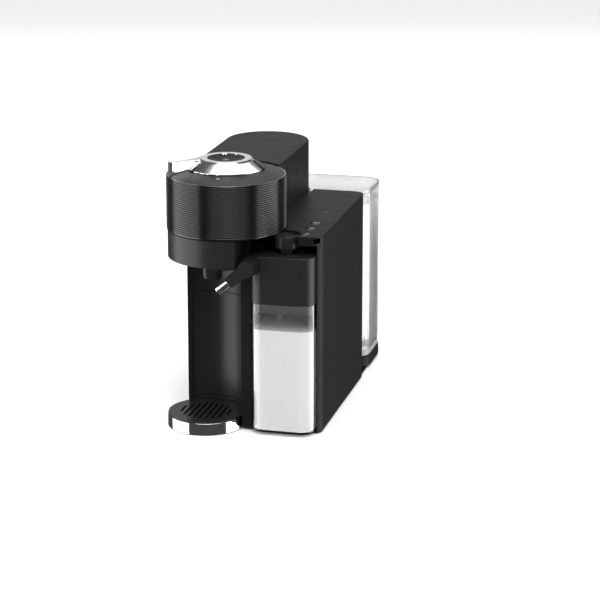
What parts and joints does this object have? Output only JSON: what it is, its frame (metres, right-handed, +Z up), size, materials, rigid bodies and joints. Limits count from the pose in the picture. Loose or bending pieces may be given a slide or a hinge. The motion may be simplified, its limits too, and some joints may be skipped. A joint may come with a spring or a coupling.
{
  "type": "pod coffee machine",
  "caption": "Pod coffee machine with a round ribbed brewing head, lever ring, milk jug with froth knob and spout, drip tray and rear water tank.",
  "frame": {"origin": "centre of the footprint, on the floor under the feet", "axes": "+Z up, -Y towards the front with the drip tray and the milk jug, +X towards the milk side"},
  "size_m": [0.1882, 0.3802, 0.319],
  "materials": {
    "glossy_black": "glossy",
    "metallic_grey": "satin",
    "matte_black": "matte",
    "inner_plastic": "matte",
    "chrome": "polished",
    "steel": "brushed",
    "aluminium": "cast",
    "clear_plastic": "clear",
    "rubber": "matte",
    "white_plastic": "glossy",
    "board_green": "satin"
  },
  "bodies": {
    "base": {"base_plate": "matte_black", "rubber_feet": "rubber", "base_screws": "steel", "body_shell": "glossy_black", "lower_head": "glossy_black", "drive_cover": "matte_black", "coffee_outlet": "matte_black", "spindle_bearing": "steel", "drive_motor": "steel", "drive_belt": "rubber", "rear_cover": "metallic_grey", "hinge_bracket": "steel", "hinge_pin": "steel", "lid_spring": "steel", "module_housing": "glossy_black", "module_top": "glossy_black", "control_panel": "metallic_grey", "indicator_lamps": "white_plastic", "control_board": "board_green", "inner_frame": "steel", "thermoblock": "aluminium", "pump": "steel", "steam_nozzle": "steel", "tank_dock": "matte_black", "cord_gland": "matte_black"},
    "lid": {"lid_band": "glossy_black", "lid_cap": "metallic_grey", "lid_frame": "inner_plastic", "lid_floor": "matte_black", "head_gasket": "rubber", "piercing_needle": "steel", "button_spring": "steel"},
    "clamp_disc": {"clamp_disc": "inner_plastic"},
    "lever": {"lever": "chrome", "locking_ring": "aluminium"},
    "brew_button": {"brew_button": "glossy_black"},
    "capsule_drive": {"capsule_holder": "inner_plastic", "spindle_pulley": "white_plastic"},
    "motor_shaft": {"motor_pulley": "white_plastic"},
    "recipe_button_front": {"recipe_button_front": "glossy_black"},
    "recipe_button_middle": {"recipe_button_middle": "glossy_black"},
    "recipe_button_rear": {"recipe_button_rear": "glossy_black"},
    "jug": {"milk_jug": "clear_plastic", "jug_lid": "matte_black", "milk_tube": "white_plastic"},
    "lid_catch_right": {"lid_catch_right": "matte_black"},
    "lid_catch_left": {"lid_catch_left": "matte_black"},
    "froth_knob": {"froth_knob": "glossy_black"},
    "spout": {"milk_spout": "matte_black", "spout_tip": "chrome"},
    "tray": {"drip_tray": "matte_black", "tray_band": "chrome", "cup_grid": "matte_black"},
    "capsule_container": {"capsule_container": "glossy_black"},
    "tank": {"water_tank": "clear_plastic", "tank_valve": "matte_black"},
    "tank_lid": {"tank_lid": "clear_plastic"}
  },
  "joints": [
    {"name": "lid_hinge", "type": "hinge", "parent": "base", "child": "lid", "pos_m": [-0.02465, -0.03065, 0.2955], "axis": [-1, 0, 0], "range_deg": [0, 40]},
    {"name": "lever_turn", "type": "hinge", "parent": "lid", "child": "lever", "pos_m": [-0.02465, -0.12065, 0.31], "axis": [0, 0, 1], "range_deg": [0, 45]},
    {"name": "clamp_disc_spin", "type": "hinge", "parent": "lid", "child": "clamp_disc", "pos_m": [-0.02465, -0.12065, 0.24], "axis": [0, 0, 1], "continuous": true},
    {"name": "brew_button_press", "type": "slide", "parent": "lid", "child": "brew_button", "axis": [0, 0, -1], "range_m": [0, 0.0012], "stiffness_N_per_m": 900, "deforming": ["button_spring"]},
    {"name": "capsule_spin", "type": "hinge", "parent": "base", "child": "capsule_drive", "pos_m": [-0.02465, -0.12065, 0.21], "axis": [0, 0, 1], "continuous": true},
    {"name": "motor_spin", "type": "hinge", "parent": "base", "child": "motor_shaft", "pos_m": [-0.02465, -0.05865, 0.197], "axis": [0, 0, 1], "continuous": true},
    {"name": "recipe_button_front_press", "type": "slide", "parent": "base", "child": "recipe_button_front", "axis": [0, 0, -1], "range_m": [0, 0.0008], "stiffness_N_per_m": 700},
    {"name": "recipe_button_middle_press", "type": "slide", "parent": "base", "child": "recipe_button_middle", "axis": [0, 0, -1], "range_m": [0, 0.0008], "stiffness_N_per_m": 700},
    {"name": "recipe_button_rear_press", "type": "slide", "parent": "base", "child": "recipe_button_rear", "axis": [0, 0, -1], "range_m": [0, 0.0008], "stiffness_N_per_m": 700},
    {"name": "jug_slide", "type": "slide", "parent": "base", "child": "jug", "axis": [0, -1, 0], "range_m": [0, 0.11]},
    {"name": "lid_catch_right_press", "type": "slide", "parent": "jug", "child": "lid_catch_right", "axis": [-1, 0, 0], "range_m": [0, 0.001], "stiffness_N_per_m": 900},
    {"name": "lid_catch_left_press", "type": "slide", "parent": "jug", "child": "lid_catch_left", "axis": [1, 0, 0], "range_m": [0, 0.001], "stiffness_N_per_m": 900},
    {"name": "froth_turn", "type": "hinge", "parent": "jug", "child": "froth_knob", "pos_m": [0.05165, -0.13825, 0.22], "axis": [0, 0, 1], "range_deg": [-90, 90]},
    {"name": "spout_swing", "type": "hinge", "parent": "jug", "child": "spout", "pos_m": [0.01375, -0.17065, 0.203], "axis": [0, -1, 0], "range_deg": [0, 45]},
    {"name": "tray_slide", "type": "slide", "parent": "base", "child": "tray", "axis": [0, -1, 0], "range_m": [0, 0.09]},
    {"name": "container_slide", "type": "slide", "parent": "base", "child": "capsule_container", "axis": [0, -1, 0], "range_m": [0, 0.12]},
    {"name": "tank_lift", "type": "slide", "parent": "base", "child": "tank", "axis": [0, 0, 1], "range_m": [0, 0.08]},
    {"name": "tank_lid_lift", "type": "slide", "parent": "tank", "child": "tank_lid", "axis": [0, 0, 1], "range_m": [0, 0.03]}
  ],
  "couplings": [
    {"joint": "motor_spin", "follows": "capsule_spin", "ratio": 2},
    {"joint": "clamp_disc_spin", "follows": "capsule_spin", "ratio": 1}
  ]
}
